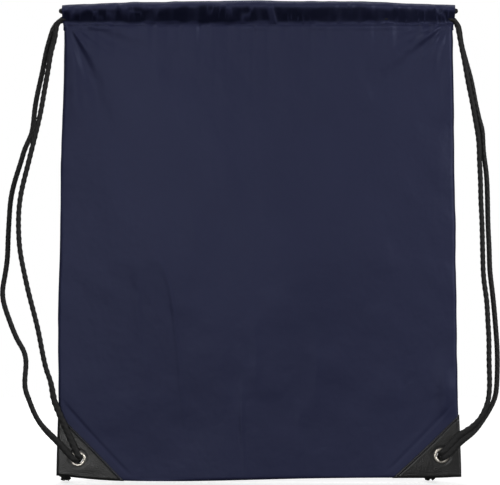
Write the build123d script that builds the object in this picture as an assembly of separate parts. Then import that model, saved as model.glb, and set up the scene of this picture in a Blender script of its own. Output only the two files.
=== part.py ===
from build123d import *
import os
from math import cos, sin, pi

# Drawstring backpack, standing upright with its mouth up.
# X runs across the bag (left is -X), Y from front (-Y) to back (+Y), Z up. The origin
# is the middle of the bottom edge, on the plane where front and back cloth meet.
os.makedirs("parts", exist_ok=True)

SIDES = {"left": -1, "right": 1}     # sign of x
FACES = {"front": -1, "back": 1}     # sign of y

# ---------------------------------------------------------------- driving sizes
HEM_Z = 395.0          # height of the stitch line that closes the cord casings
HALF_TOP = 168.0       # half width of the cloth just under the casings
HALF_BOTTOM = 174.0    # half width of the cloth at the bottom corners
CLOTH_T = 0.8
SEAM_GAP = 0.8         # each cloth's inner face stands this far from the mid-plane
BELLY = {"front": 11.0, "back": 8.0}   # how far each cloth bulges
# bottom edge of the cloth, (x, z)
BOTTOM_EDGE = [(-174.0, 5.6), (-98.0, 0.0), (-20.0, 1.0), (40.0, 3.0), (150.0, 3.4), (174.0, 4.2)]

CASING_HALF = 166.5    # casings end this far from the middle
CASING_Y_END = 4.9     # casing centre from the mid-plane at the ends
CASING_Y_MID = 10.2    # and in the middle, where the mouth gapes
MOUTH_FLAT = 110.0     # half length of the stretch where the mouth is widest
CROSS_HALF = 58.0      # the two cords cross over inside this stretch

PATCH_LEG = 58.0
PATCH_Y0 = SEAM_GAP + CLOTH_T + 0.05
PATCH_Y1 = PATCH_Y0 + 1.0

EYES = {"left": (-156.2, 19.8), "right": (158.5, 22.4)}   # eyelet centres, (x, z)
EYE_BORE_R = 4.0
EYE_BARREL_R = 4.4
EYE_HOLE_R = 4.5
EYE_FLANGE_R = 6.8
FLANGE_Y = PATCH_Y1 + 0.06     # seat of the flange and the washer
EYE_FRONT = FLANGE_Y + 0.85    # reach of the eyelet in front of the mid-plane
EYE_REAR = FLANGE_Y + 1.0      # and behind it

CORD_R = 2.15          # braided cord
LEAD_R = 1.9           # the same cord pressed thin where it enters the eyelet
CORD_LOW_Z = 400.6     # where a cord leaves its own side of the casing
CORD_TURN_Z = 407.6    # where it turns round the far side


# ---------------------------------------------------------------- helpers
def save(name, shape):
    shape.label = name
    export_step(shape, f"parts/{name}.step")


def lerp(start, end, t):
    return start + (end - start) * t


def smooth(low, high, value):
    """Eased step from 0 at low to 1 at high."""
    t = min(1.0, max(0.0, (value - low) / (high - low)))
    return t * t * (3 - 2 * t)


def bottom(x):
    """Height of the cloth's bottom edge, eased between the listed points."""
    if x <= BOTTOM_EDGE[0][0]:
        return BOTTOM_EDGE[0][1]
    for (x0, z0), (x1, z1) in zip(BOTTOM_EDGE, BOTTOM_EDGE[1:]):
        if x <= x1:
            return lerp(z0, z1, smooth(x0, x1, x))
    return BOTTOM_EDGE[-1][1]


def half_width(z):
    return lerp(HALF_BOTTOM, HALF_TOP, z / HEM_Z)


def casing_y(x):
    """Distance of the casing's centre from the mid-plane."""
    t = max(0.0, (abs(x) - MOUTH_FLAT) / (CASING_HALF - MOUTH_FLAT))
    return lerp(CASING_Y_MID, CASING_Y_END, t)


def prism(base, base_y, crown, crown_y):
    """Flat-sided solid between two outlines (x, z) at two depths."""
    wires = [Wire(Polyline(*[(x, y, z) for x, z in outline], close=True).edges())
             for outline, y in ((base, base_y), (crown, crown_y))]
    return Solid.make_loft(wires, ruled=True)


def plate(outline, y0, y1):
    """Flat plate with an outline (x, z), between two depths."""
    wire = Polyline(*[(x, min(y0, y1), z) for x, z in outline], close=True)
    face = Face(Wire(wire.edges()))
    if face.normal_at().Y < 0:
        face = -face
    return Solid.extrude(face, Vector(0, abs(y1 - y0), 0))


def cylinder_y(centre, radius, y0, y1):
    """Cylinder along +Y about a centre (x, z)."""
    x, z = centre
    return Solid.make_cylinder(radius, y1 - y0, Plane(origin=(x, y0, z), z_dir=(0, 1, 0)))


def eye_hole(side_name):
    return cylinder_y(EYES[side_name], EYE_HOLE_R, -10, 10)


def ball(point, radius):
    return Pos(*point) * Solid.make_sphere(radius, angle1=-90, angle2=90, angle3=360)


def spline(points, **options):
    return Spline(*[Vector(*point) for point in points], **options)


def rod(path, radius):
    start = Plane(origin=path @ 0, z_dir=path % 0)
    return sweep(start * Circle(radius), path=path, transition=Transition.ROUND)


def jointed_rod(edge, radius, pitch=14.0):
    """Cord as short straight lengths along a curve, with a ball at each joint."""
    count = max(2, round(edge.length / pitch))
    points = [edge @ (i / count) for i in range(count + 1)]
    cord = None
    for start, end in zip(points, points[1:]):
        run = end - start
        length = Solid.make_cylinder(radius, run.length, Plane(origin=start, z_dir=run))
        cord = length if cord is None else cord + length
        if end is not points[-1]:
            # a hair larger than the cord, so the surfaces don't coincide
            cord = cord + ball(end, radius * 1.0004)
    return cord


def clean(shape):
    """The lone solid of a shape, or a compound of its solids."""
    solids = shape.solids()
    return Compound(children=list(solids)) if len(solids) > 1 else solids[0]


# ---------------------------------------------------------------- cloth panels
CORNER = PATCH_LEG + 6     # the belly's base cuts off the bottom corners by this much
BASE_RISE = 8              # lift of the belly's base above z = 0
INNER_INSET = 1.2          # inset of the hollow's base from the belly's base
CROWN = [(-70, 120), (70, 120), (MOUTH_FLAT, 215), (MOUTH_FLAT, HEM_Z),
         (-MOUTH_FLAT, HEM_Z), (-MOUTH_FLAT, 215)]


def belly_base(inset):
    """Outline (x, z) where the belly rises from the flat cloth."""
    low_x = HALF_BOTTOM - CORNER
    corner_x = half_width(CORNER) - 3 - inset
    top_x = HALF_TOP - 2 - inset
    low_z = BASE_RISE + inset
    corner_z = BASE_RISE + CORNER
    return [(-low_x, low_z), (low_x, low_z), (corner_x, corner_z),
            (top_x, HEM_Z), (-top_x, HEM_Z), (-corner_x, corner_z)]


def cloth(side, belly):
    """Cloth flat at the seams and corners, with a shallow belly open at the mouth."""
    steps = 12
    edge_xs = [-HALF_BOTTOM + 2 * HALF_BOTTOM * i / steps for i in range(steps + 1)]
    outline = [(x, bottom(x)) for x in edge_xs] + [(HALF_TOP, HEM_Z), (-HALF_TOP, HEM_Z)]
    y0, y1 = SEAM_GAP, SEAM_GAP + CLOTH_T
    flat = plate(outline, side * y0, side * y1)
    outer = prism(belly_base(0), side * (y1 - 0.4), CROWN, side * (y1 + belly))
    # the hollow runs on past the inner face so that it opens cleanly
    hollow_base = belly_base(INNER_INSET)
    hollow = prism(hollow_base, side * (y0 - 0.01), CROWN, side * (y0 + belly))
    hollow = hollow + prism(hollow_base, side * (y0 - 0.01), hollow_base, side * (y0 - 0.3))
    return (flat + outer) - hollow


for face_name, face_sign in FACES.items():
    panel = cloth(face_sign, BELLY[face_name])
    for side_name in SIDES:
        panel = panel - eye_hole(side_name)
    save(f"{face_name}_panel", panel)

# ---------------------------------------------------------------- casings
CASING_WALL = 0.8
CASING_DEPTH_END = 7.0
CASING_DEPTH_MID = 11.6
CASING_Z0 = 395.3
CASING_TOP_END = 412.5
CASING_TOP_MID = 416.0
CASING_CROWN_HALF = 60     # half length of the level top


def casing_half_depth(x):
    x = abs(x)
    if x <= CROSS_HALF:
        return CASING_DEPTH_MID / 2
    if x <= MOUTH_FLAT:
        t = (x - CROSS_HALF) / (MOUTH_FLAT - CROSS_HALF)
        return lerp(CASING_DEPTH_MID, CASING_DEPTH_END, t) / 2
    return CASING_DEPTH_END / 2


def casing_block(side, inset, end):
    """Solid bowed in plan and crowned along the top."""
    xs = [-end, -MOUTH_FLAT, -CROSS_HALF, CROSS_HALF, MOUTH_FLAT, end]
    near = [(x, side * (casing_y(x) - casing_half_depth(x) + inset)) for x in xs]
    far = [(x, side * (casing_y(x) + casing_half_depth(x) - inset)) for x in reversed(xs)]
    plan = Polyline(*[(x, y, CASING_Z0 + inset) for x, y in near + far], close=True)
    face = Face(Wire(plan.edges()))
    if face.normal_at().Z < 0:
        face = -face
    block = Solid.extrude(face, Vector(0, 0, 30))
    roof_x = end + 5
    end_z, crown_z = CASING_TOP_END - inset, CASING_TOP_MID - inset
    roof = [(-roof_x, 380), (roof_x, 380), (roof_x, end_z), (CASING_CROWN_HALF, crown_z),
            (-CASING_CROWN_HALF, crown_z), (-roof_x, end_z)]
    return (block & plate(roof, -40, 40)).solid()


def casing(side):
    """Tube open at both ends."""
    return casing_block(side, 0, CASING_HALF) - casing_block(side, CASING_WALL, CASING_HALF + 4)


for face_name, face_sign in FACES.items():
    save(f"{face_name}_casing", casing(face_sign))

# ---------------------------------------------------------------- seams inside
SEAM_HALF_T = 0.6
SIDE_SEAM_Z = (16.0, 385.0)


def side_seam(side):
    inner = [(side * (half_width(z) - 8.0), z) for z in SIDE_SEAM_Z]
    outer = [(side * (half_width(z) - 0.4), z) for z in reversed(SIDE_SEAM_Z)]
    return plate(inner + outer, -SEAM_HALF_T, SEAM_HALF_T)


def bottom_seam():
    xs = [-165 + 10 * i for i in range(34)]
    lower = [(x, bottom(x) + 0.4) for x in xs]
    upper = [(x, bottom(x) + 7.0) for x in reversed(xs)]
    return plate(lower + upper, -SEAM_HALF_T, SEAM_HALF_T)


for side_name, side_sign in SIDES.items():
    save(f"{side_name}_side_seam", side_seam(side_sign))
save("bottom_seam", bottom_seam())


# ---------------------------------------------------------------- corner patches
def patch(side_name, face):
    """Triangle in a bottom corner, following the bottom edge."""
    side = SIDES[side_name]
    edge_x = HALF_BOTTOM - 0.2
    corner_x = edge_x - 2.2      # the corner itself is nipped off
    corner_z = bottom(side * HALF_BOTTOM)
    outline = [(side * edge_x, corner_z + PATCH_LEG * 0.93), (side * edge_x, corner_z + 3.0),
               (side * corner_x, corner_z + 0.8)]
    for k in range(1, 5):
        x = side * (corner_x - (PATCH_LEG - 6) * k / 4)
        outline.append((x, bottom(x) + 0.3))
    return plate(outline, face * PATCH_Y0, face * PATCH_Y1) - eye_hole(side_name)


for side_name in SIDES:
    for face_name, face_sign in FACES.items():
        save(f"{side_name}_{face_name}_patch", patch(side_name, face_sign))

# ---------------------------------------------------------------- eyelets and washers
EYE_RIM_R = EYE_BARREL_R + 0.9     # rolled rear rim
EYE_RIM_Y = FLANGE_Y + 0.72        # front of the rear rim
# (radius, y): domed front flange, barrel, rolled rear rim
EYE_PROFILE = [
    (EYE_BORE_R, -FLANGE_Y - 0.55), (EYE_BORE_R, EYE_REAR), (EYE_RIM_R, EYE_REAR),
    (EYE_RIM_R, EYE_RIM_Y), (EYE_BARREL_R, EYE_RIM_Y), (EYE_BARREL_R, -FLANGE_Y),
    (EYE_FLANGE_R, -FLANGE_Y), (EYE_FLANGE_R, -FLANGE_Y - 0.3),
    (EYE_FLANGE_R - 0.7, -FLANGE_Y - 0.8), (EYE_BORE_R + 0.8, -EYE_FRONT),
]
WASHER_T = 0.65


def eyelet(centre):
    profile = Face(Wire(Polyline(*EYE_PROFILE, close=True).edges()))
    x, z = centre
    return Pos(x, 0, z) * Solid.revolve(profile, 360, Axis((0, 0, 0), (0, 1, 0)))


def washer(centre):
    disc = cylinder_y(centre, EYE_FLANGE_R, FLANGE_Y, FLANGE_Y + WASHER_T)
    return disc - cylinder_y(centre, EYE_BARREL_R + 0.05, FLANGE_Y - 1, FLANGE_Y + 2)


for side_name, eye in EYES.items():
    save(f"{side_name}_eyelet", eyelet(eye))
    save(f"{side_name}_washer", washer(eye))

# ---------------------------------------------------------------- cords in the casings
CROSS_SHIFT = 2.3     # each cord steps this far along Y where the two cross
CROSS_X = CROSS_HALF - 8
RUN_END_X = CASING_HALF - 1.0
CORD_EXIT_X = CASING_HALF - 0.1
TURN_BULGE = 3.9


def cord_run(face, left_z, right_z, shift):
    end_y, mid_y = face * casing_y(RUN_END_X), face * CASING_Y_MID
    points = [(-RUN_END_X, end_y, left_z), (-MOUTH_FLAT, mid_y, left_z),
              (-CROSS_X, mid_y + shift, left_z), (CROSS_X, mid_y + shift, right_z),
              (MOUTH_FLAT, mid_y, right_z), (RUN_END_X, end_y, right_z)]
    start = Plane(origin=points[0], z_dir=Vector(*points[1]) - Vector(*points[0]))
    return sweep(start * Circle(CORD_R), path=Polyline(*points), transition=Transition.RIGHT)


def cord_turn(side):
    """Half turn round a side edge, from the front casing to the back one."""
    x = side * CORD_EXIT_X
    return rod(ThreePointArc((x, -CASING_Y_END, CORD_TURN_Z),
                             (x + side * TURN_BULGE, 0, CORD_TURN_Z),
                             (x, CASING_Y_END, CORD_TURN_Z)), CORD_R)


for face_name, face_sign in FACES.items():
    save(f"left_cord_{face_name}_run",
         cord_run(face_sign, CORD_LOW_Z, CORD_TURN_Z, -CROSS_SHIFT))
    save(f"right_cord_{face_name}_run",
         cord_run(face_sign, CORD_TURN_Z, CORD_LOW_Z, CROSS_SHIFT))

# each cord turns back round the side opposite its own
for side_name, side_sign in SIDES.items():
    save(f"{side_name}_cord_turn", cord_turn(-side_sign))

# ---------------------------------------------------------------- shoulder loops
BALL_Z = 391.0       # height of the top balls
BALL_Y = 2.3         # their distance from the mid-plane
UP_CUT = 14.0        # lengths of cord that stay with the swinging ends
LOW_CUT = 12.0
UP_GAP = 0.7         # gaps between those ends and the strand
LOW_GAP = 1.0

# lines the shoulder loops swing about, as two points (x, y, z)
SWING_AXES = {"left": ((-176.6, 0.0, 391.0), (-176.8, -4.95, 54.0)),
              "right": ((174.6, 0.0, 391.0), (178.5, -4.95, 40.0))}

# middle lines of the free strands, (x, z) from the top down
LEFT_INNER = [
    (-176.1, 385.3), (-182.1, 356.0), (-192.0, 304.2), (-204.8, 252.4), (-207.4, 217.9),
    (-203.2, 183.4), (-190.7, 131.6), (-183.4, 97.1), (-180.2, 87.0)]
LEFT_OUTER = [
    (-180.4, 385.3), (-187.3, 356.0), (-196.3, 304.2), (-205.8, 278.3), (-214.9, 243.8),
    (-218.2, 192.0), (-221.5, 160.5), (-216.2, 140.2), (-204.4, 113.3), (-201.8, 92.0),
    (-201.7, 80.5), (-198.3, 70.5), (-191.2, 54.9)]
RIGHT_INNER = [
    (174.8, 381.9), (184.7, 330.1), (191.4, 278.3), (193.3, 226.5), (195.2, 174.8),
    (198.5, 140.2), (199.6, 105.7), (199.2, 73.0)]
RIGHT_OUTER = [
    (175.9, 381.9), (187.6, 330.1), (195.2, 284.9), (198.3, 252.4), (200.0, 200.6),
    (204.3, 148.9), (206.8, 114.3), (206.9, 97.1), (203.8, 71.2)]

# (side, face): x of the top ball, middle line, y midway, y at the bottom, z where that
# bottom y is reached, further points (x, y, z), z of the lower ball
STRANDS = {
    ("left", "front"): (-175.0, LEFT_INNER, -4.2, -4.65, 78, [], 71.0),
    ("left", "back"): (-178.2, LEFT_OUTER, 4.2, -5.0, 50, [], 37.6),
    ("right", "front"): (173.7, RIGHT_INNER, -3.4, -5.0, 50,
                         [(193.0, -5.5, 57.6), (186.0, -5.2, 48.8)], 43.4),
    ("right", "back"): (175.5, RIGHT_OUTER, 3.0, 0.6, 60,
                        [(194.5, -0.2, 53.9), (186.0, -2.9, 41.4)], 37.0),
}


def lower_ball(side_name, face_name):
    """Lower balls sit on the swing line, so they only turn in their sockets."""
    z = STRANDS[side_name, face_name][-1]
    (xa, ya, za), (xb, yb, zb) = SWING_AXES[side_name]
    t = (z - za) / (zb - za)
    return (lerp(xa, xb, t), lerp(ya, yb, t), z)


def top_ball(side_name, face_name):
    return (STRANDS[side_name, face_name][0], FACES[face_name] * BALL_Y, BALL_Z)


def with_depth(line, y_top, y_mid, y_low, z_low):
    """Adds y to a middle line: y_top at the balls, then y_mid, then y_low."""
    points = []
    for x, z in line:
        y = lerp(y_top, y_mid, 1 - smooth(330, 391, z))
        y = lerp(y_low, y, smooth(z_low, z_low + 110, z))
        points.append((x, y, z))
    return points


def strand(side_name, face_name):
    """Free strand of a shoulder loop: its top end, main length and lower end."""
    _, line, y_mid, y_low, z_low, further, _ = STRANDS[side_name, face_name]
    top, low = top_ball(side_name, face_name), lower_ball(side_name, face_name)
    path = spline([top] + with_depth(line, top[1], y_mid, y_low, z_low) + further + [low])
    length = path.length
    up_cut, low_cut = UP_CUT / length, 1 - LOW_CUT / length
    main = path.trim(up_cut + UP_GAP / length, low_cut - LOW_GAP / length)
    top_end = jointed_rod(path.trim(0, up_cut), CORD_R, 6) + ball(top, CORD_R)
    low_end = jointed_rod(path.trim(low_cut, 1), CORD_R, 5) + ball(low, CORD_R)
    return top_end.solid(), clean(jointed_rod(main, CORD_R)), low_end.solid()


def stub(side_name, face_name):
    """Short cord from the casing's end down to just above the top ball."""
    side, face = SIDES[side_name], FACES[face_name]
    x, y, z = side * CORD_EXIT_X, face * CASING_Y_END, CORD_LOW_Z
    ball_x, ball_y, _ = top_ball(side_name, face_name)
    target = (ball_x - side * 0.6, ball_y * 1.25, BALL_Z + 2.6)
    path = spline([(x, y, z), (x + side * 4.2, y * 0.93, z - 1.4), target],
                  tangents=[(side, 0, 0), (side * 0.25, -0.1 * face, -1)])
    below = Box(60, 60, 20, align=(Align.CENTER, Align.CENTER, Align.MAX)).moved(
        Location((ball_x, 0, BALL_Z + CORD_R + 0.3)))
    return (rod(path, CORD_R) - below).solid()


for side_name in SIDES:
    top_ends, low_ends = [], []
    for face_name in FACES:
        top_end, main_length, low_end = strand(side_name, face_name)
        save(f"{side_name}_{face_name}_strand", main_length)
        top_ends.append(top_end)
        low_ends.append(low_end)
    save(f"{side_name}_strand_top_ends", Compound(children=top_ends))
    save(f"{side_name}_strand_low_ends", Compound(children=low_ends))
    save(f"{side_name}_cord_stubs",
         Compound(children=[stub(side_name, face_name) for face_name in FACES]))

# ---------------------------------------------------------------- leads
THREAD_ROOM = 0.5     # room for seam threads between the patch and the leads
LEAD_Y = -(PATCH_Y1 + THREAD_ROOM + 0.25 + LEAD_R)
RIM_Y = -(EYE_FRONT + 0.12 + LEAD_R)
LEAD_LIFT = 0.3       # the last point before the rim stands this much further forward
LEAD_BEND = 2.6       # radius of the turn into the bore

# (side, face): points over the patch (x, z), place in the bore from the eyelet's
# centre (x, z), direction of arrival at the rim (x, z)
LEADS = {
    ("left", "front"): ([(-173.0, 60.0), (-166.5, 45.5), (-161.0, 33.5)],
                        (1.56, 1.22), (0.52, -0.85)),
    ("left", "back"): ([(-172.8, 33.0), (-167.0, 27.0)], (-1.56, -1.22), (0.85, -0.53)),
    ("right", "front"): ([(173.0, 39.8), (166.8, 33.0)], (-0.75, 1.84), (-0.75, -0.66)),
    ("right", "back"): ([(174.0, 33.6), (168.3, 28.3)], (0.75, -1.84), (-0.88, -0.48)),
}


def lead(side_name, face_name):
    """From just clear of the lower ball, over the patch and rim, then back through the bore."""
    via, (offset_x, offset_z), (arrive_x, arrive_z) = LEADS[side_name, face_name]
    eye_x, eye_z = EYES[side_name]
    bore_x, bore_z = eye_x + offset_x, eye_z + offset_z
    heading = Vector(arrive_x, 0, arrive_z).normalized()

    points = [Vector(x, LEAD_Y, z) for x, z in via]
    points[-1] = points[-1] - Vector(0, LEAD_LIFT, 0)
    low = Vector(*lower_ball(side_name, face_name))
    start = low + (points[0] - low).normalized() * (CORD_R + 0.12)

    over_bore = Vector(bore_x, RIM_Y, bore_z)
    turn_start = over_bore - heading * LEAD_BEND
    turn_mid = (over_bore - heading * (LEAD_BEND * (1 - sin(pi / 4)))
                + Vector(0, LEAD_BEND * (1 - cos(pi / 4)), 0))
    turn_end = over_bore + Vector(0, LEAD_BEND, 0)

    first = spline([start] + points + [turn_start], tangents=[points[0] - start, heading])
    turn = ThreePointArc(turn_start, turn_mid, turn_end)
    last = Line(turn_end, Vector(bore_x, EYE_REAR, bore_z))
    joined = rod(first, LEAD_R) + rod(turn, LEAD_R) + rod(last, LEAD_R)
    return joined.solids().sort_by(SortBy.VOLUME)[-1]


for side_name in SIDES:
    save(f"{side_name}_cord_leads",
         Compound(children=[lead(side_name, face_name) for face_name in FACES]))

# ---------------------------------------------------------------- knots behind the eyelets
KNOTS = {"left": (-168.2, 7.2), "right": (148.0, 8.2)}   # knot centres, (x, z)
KNOT_TOP_Y = EYE_REAR + 0.15 + CORD_R
KNOT_Y = KNOT_TOP_Y + 2.3
KNOT_COIL_R = 2.2
TAIL_R = 1.9


def knot(eye, centre):
    """Two cords from the eyelet into a knot of two coils round a ball, with two tails."""
    eye_x, eye_z = eye
    x, z = centre
    middle = (x, KNOT_Y, z)
    pieces = []
    for shift in (-2.25, 2.25):
        top = (eye_x + shift, KNOT_TOP_Y, eye_z)
        halfway = ((top[0] + x) / 2 + shift * 0.2, KNOT_Y - 0.3, (eye_z + z) / 2)
        pieces.append(ball(top, CORD_R))
        pieces.append(rod(spline([top, halfway, (x + shift * 0.4, KNOT_Y, z)]), CORD_R))
    pieces.append(Pos(*middle) * (Rot(90, 0, 0) * Solid.make_torus(3.2, KNOT_COIL_R)))
    pieces.append(Pos(*middle) * (Rot(0, 35, 0) * Solid.make_torus(3.0, KNOT_COIL_R)))
    pieces.append(ball(middle, 3.4))
    for tail_x, tail_z in ((-2.4, 2.3), (4.4, 2.9)):
        pieces.append(rod(Line(middle, (x + tail_x, KNOT_Y + 0.5, tail_z)), TAIL_R))
    joined = pieces[0]
    for piece in pieces[1:]:
        joined = joined + piece
    return clean(joined)


for side_name, eye in EYES.items():
    save(f"{side_name}_knot", knot(eye, KNOTS[side_name]))
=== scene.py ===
"""Navy drawstring bag with leatherette corners, nickel eyelets and braided black cords.

The bag stands upright in the XZ plane: X runs left (-) to right (+), Y front (-) to back (+),
Z up from the bottom edge to the mouth. Shapes are worked out in millimetres and scaled to
metres when a mesh is made; materials, floor, lights and camera are in metres.
"""
import math

import bmesh
import bpy
import numpy as np
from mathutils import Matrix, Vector


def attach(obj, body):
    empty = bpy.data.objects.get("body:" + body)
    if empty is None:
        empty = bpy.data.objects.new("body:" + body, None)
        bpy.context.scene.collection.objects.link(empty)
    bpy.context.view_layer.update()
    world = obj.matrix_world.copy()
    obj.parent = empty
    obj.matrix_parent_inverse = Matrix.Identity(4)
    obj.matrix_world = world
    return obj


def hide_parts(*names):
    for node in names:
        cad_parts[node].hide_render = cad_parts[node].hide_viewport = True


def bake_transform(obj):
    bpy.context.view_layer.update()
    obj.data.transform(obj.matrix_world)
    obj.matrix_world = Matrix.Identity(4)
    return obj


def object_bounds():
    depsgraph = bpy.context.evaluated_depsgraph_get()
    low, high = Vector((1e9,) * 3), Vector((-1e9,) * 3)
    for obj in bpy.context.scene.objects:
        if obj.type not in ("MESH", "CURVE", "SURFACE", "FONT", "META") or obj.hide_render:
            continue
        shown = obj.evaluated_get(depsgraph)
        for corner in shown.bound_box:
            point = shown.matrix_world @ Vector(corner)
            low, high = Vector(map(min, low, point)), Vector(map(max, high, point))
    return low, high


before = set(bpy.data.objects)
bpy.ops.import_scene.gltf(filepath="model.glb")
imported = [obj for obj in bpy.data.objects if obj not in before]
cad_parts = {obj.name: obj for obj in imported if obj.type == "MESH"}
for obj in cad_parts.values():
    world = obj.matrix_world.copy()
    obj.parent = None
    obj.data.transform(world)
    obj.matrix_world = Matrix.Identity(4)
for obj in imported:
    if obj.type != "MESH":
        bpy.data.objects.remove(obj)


# ------------------------------------------------------------------ sizes, mm
MM = 0.001                                # one millimetre in metres
STITCH_Z = 395.0                          # stitch line under the casing
HALF_BOTTOM, HALF_STITCH, HALF_RIM = 174.0, 168.0, 169.8    # half widths of the bag
RIM_MID, RIM_END = 415.8, 412.4           # rim height in the middle and at the sides
CLOTH_THICK, ALLOWANCE_THICK = 0.45, 0.5
SEAM_Y = 0.33                             # outer face from the mid-plane at the seamed edges
EYELETS = {"left": (-156.2, 19.8), "right": (158.5, 22.4)}  # centres, x and z
HOLE_R = 4.6                              # hole in cloth and patch behind an eyelet
CORD_R = 2.2
KNOTS = {"left": (-168.4, 6.4), "right": (148.6, 6.6)}      # centres, x and z
SIDES = (("left", -1), ("right", 1))      # name and direction along X
FACES = (("front", 0), ("back", 1))       # name and face number
OUTWARD = (-1, 1)                         # direction along Y of each face number

# mesh steps
CLOTH_STEP_X, CLOTH_STEP_Z = ((1.0, 1.8))
CORD_STEP, CORD_SEGMENTS = ((0.48, 36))

# height of the bottom edge: x, z
BOTTOM_EDGE = np.array([
    (-180, 6.4), (-174, 5.6), (-150, 2.6), (-125, 0.8), (-98, 0.2), (-60, 0.2), (-20, 1.0),
    (40, 2.6), (95, 3.2), (150, 3.3), (165, 3.6), (174, 4.4), (180, 4.8)])


# ------------------------------------------------------------------ shaping curves
def ease(start, end, value):
    """Smooth step from 0 at start to 1 at end."""
    t = np.clip((value - start) / (end - start), 0, 1)
    return t * t * (3 - 2 * t)


def mix(a, b, t):
    return a + (b - a) * t


def fade(distance, length):
    """Exponential fall from 1."""
    return np.exp(-distance / length)


def bump(offset, width):
    """Bell curve, 1 at no offset."""
    return np.exp(-(offset / width) ** 2)


def rounded(distance, radius):
    """Quarter circle from 0 at an edge to 1 a radius in from it."""
    return np.sqrt(1 - (1 - np.clip(distance / radius, 0, 1)) ** 2)


def signed_power(value, power):
    return np.sign(value) * np.abs(value) ** power


class Noise:
    """Smooth value noise on a repeating lattice."""

    SIZE = 64

    def __init__(self, seed):
        self.table = np.random.default_rng(seed).uniform(-1, 1, (self.SIZE, self.SIZE))

    def at(self, i, j):
        return self.table[i % self.SIZE, j % self.SIZE]

    def __call__(self, x, y):
        x, y = np.broadcast_arrays(np.asarray(x, float), np.asarray(y, float))
        i, j = np.floor(x).astype(int), np.floor(y).astype(int)
        u, v = (t * t * t * (t * (6 * t - 15) + 10) for t in (x - i, y - j))
        return mix(mix(self.at(i, j), self.at(i + 1, j), u),
                   mix(self.at(i, j + 1), self.at(i + 1, j + 1), u), v)


noise = [Noise(100 + k) for k in range(12)]


# ------------------------------------------------------------------ outline of the bag
def bottom(x):
    """Height of the bottom edge, averaged over 24 mm."""
    x = np.asarray(x, float)
    return sum(np.interp(x + shift, *BOTTOM_EDGE.T) for shift in (-12, -6, 0, 6, 12)) / 5


def rim_z(x):
    across = np.abs(x) / HALF_RIM
    ripple = 0.28 * noise[3](x / 9.0, 3.3) + 0.3 * noise[4](x / 27.0, 9.1)
    return mix(RIM_MID, RIM_END, across ** 2.2) + ripple


def half_width(z):
    straight = mix(HALF_BOTTOM, HALF_STITCH, np.clip(z / STITCH_Z, 0, 1))
    return straight + (HALF_RIM - HALF_STITCH) * ease(391, 402, z)


def corner_spread(x, z):
    """The bottom corners stand out a little past the straight sides."""
    out = np.where(x < 0, -0.9, 1.6) * (1 - ease(5, 95, z))
    return out * ease(0.955, 1, np.abs(x) / HALF_BOTTOM)


def casing_y(x):
    """Distance of the casing's middle from the mid-plane."""
    u = np.clip((np.abs(x) - 70) / 99, 0, 1)
    return mix(9.6, 4.7, ease(0, 1, u) * 0.5 + u * 0.5)


# ------------------------------------------------------------------ cloth surface
# In noise calls the divisors are the widths of the folds in mm; multiples of face and the
# bare numbers only pick a different part of the lattice.
def wrinkles(x, z, face):
    """Height of the folds off the cloth, outwards."""
    from_side = half_width(z) - np.abs(x)
    drop = STITCH_Z - z
    hang = np.clip(drop, 0, None)
    # gathers hanging from the stitch line, stronger near the corners
    warp = 6 * noise[0](x / 45 + face, z / 60)
    gathers = (noise[1]((x + warp * 0.15) / 4.6 + 17 * face, drop / 60)
               + 0.6 * noise[2]((x + warp * 0.3) / 9.5 + 5 * face, drop / 70))
    strength = (0.75 + 1.1 * fade(from_side, 38)
                + 0.35 * np.clip(noise[5](x / 55 + 3 * face, 1.7), 0, 1))
    reach = 0.46 * fade(hang, 13) + 0.24 * fade(hang, 40)
    height = gathers * strength * reach * (drop > -1)
    # a few longer soft folds falling from the hem
    long_folds = noise[6](x / 19 + 9 * face + z / 400, z / 260)
    height = height + 1.1 * signed_power(long_folds, 1.6) * fade(hang, 95)
    # folds spreading from each upper corner
    for _, sign in SIDES:
        inwards, below = (sign * 166.0 - x) * sign, 399.0 - z
        radius = np.hypot(inwards, below)
        angle = np.arctan2(below, np.maximum(inwards, 1e-3))
        fan = noise[7](angle * 5.2 + 11 * face + sign, radius / 90 + sign)
        height = height + 3.4 * fan * ease(6, 26, radius) * fade(radius, 50)
    # slack across the middle
    height = height + 1.5 * noise[8](x / 95 + 4 * face, z / 150)
    height = height + 0.7 * noise[9]((x + 0.45 * z) / 52 + face, (z - 0.3 * x) / 120)
    # pull towards the corner eyelets
    for side, sign in SIDES:
        eyelet_x, eyelet_z = EYELETS[side]
        inwards, above = (eyelet_x - x) * sign, z - eyelet_z
        radius = np.hypot(inwards, above)
        fan = noise[10](np.arctan2(above, inwards) * 3.4 + 7 * face + sign, radius / 150)
        height = height + (1.3 * fan * ease(52, 95, radius)
                           * fade(np.clip(radius - 60, 0, None), 90))
    # small creases left from folding
    crease = noise[11]((x * 0.8 + z * 0.35) / 17 + 3 * face, (z * 0.9 - x * 0.2) / 26)
    height = height + 0.42 * signed_power(crease, 0.8)
    line = noise[2]((x + 0.1 * z) / 24 + 8 * face, z / 130)
    patchy = np.clip(0.3 + noise[5](x / 90, z / 90 + 2 * face), 0, 1)
    height = height + 0.55 * bump(line, 0.16) * patchy
    height = height + 0.05 * noise[2](x / 3.1, z / 3.7 + face)
    # on the front, a soft ridge above the right patch and one under the left end of the hem
    if face == 0:
        height = height + (2.4 * bump(x - 163 + (z - 75) * 0.06, 7.5)
                           * ease(45, 66, z) * (1 - ease(82, 118, z)))
        height = height + (1.1 * bump(x + 161 - (392 - z) * 0.05, 5.0)
                           * ease(300, 345, z) * (1 - ease(372, 394, z)))
    # puckers along the side seams and the bottom
    side_pucker = noise[3](z / 7.0 + 13 * face, np.sign(x) * 3 + 0.5)
    bottom_pucker = noise[4](x / 7.5 + 3 * face, 8.5)
    height = height + 0.30 * side_pucker * fade(from_side, 7.0)
    return height + 0.26 * bottom_pucker * fade(np.clip(z - bottom(x), 0, None), 7.0)


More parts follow.
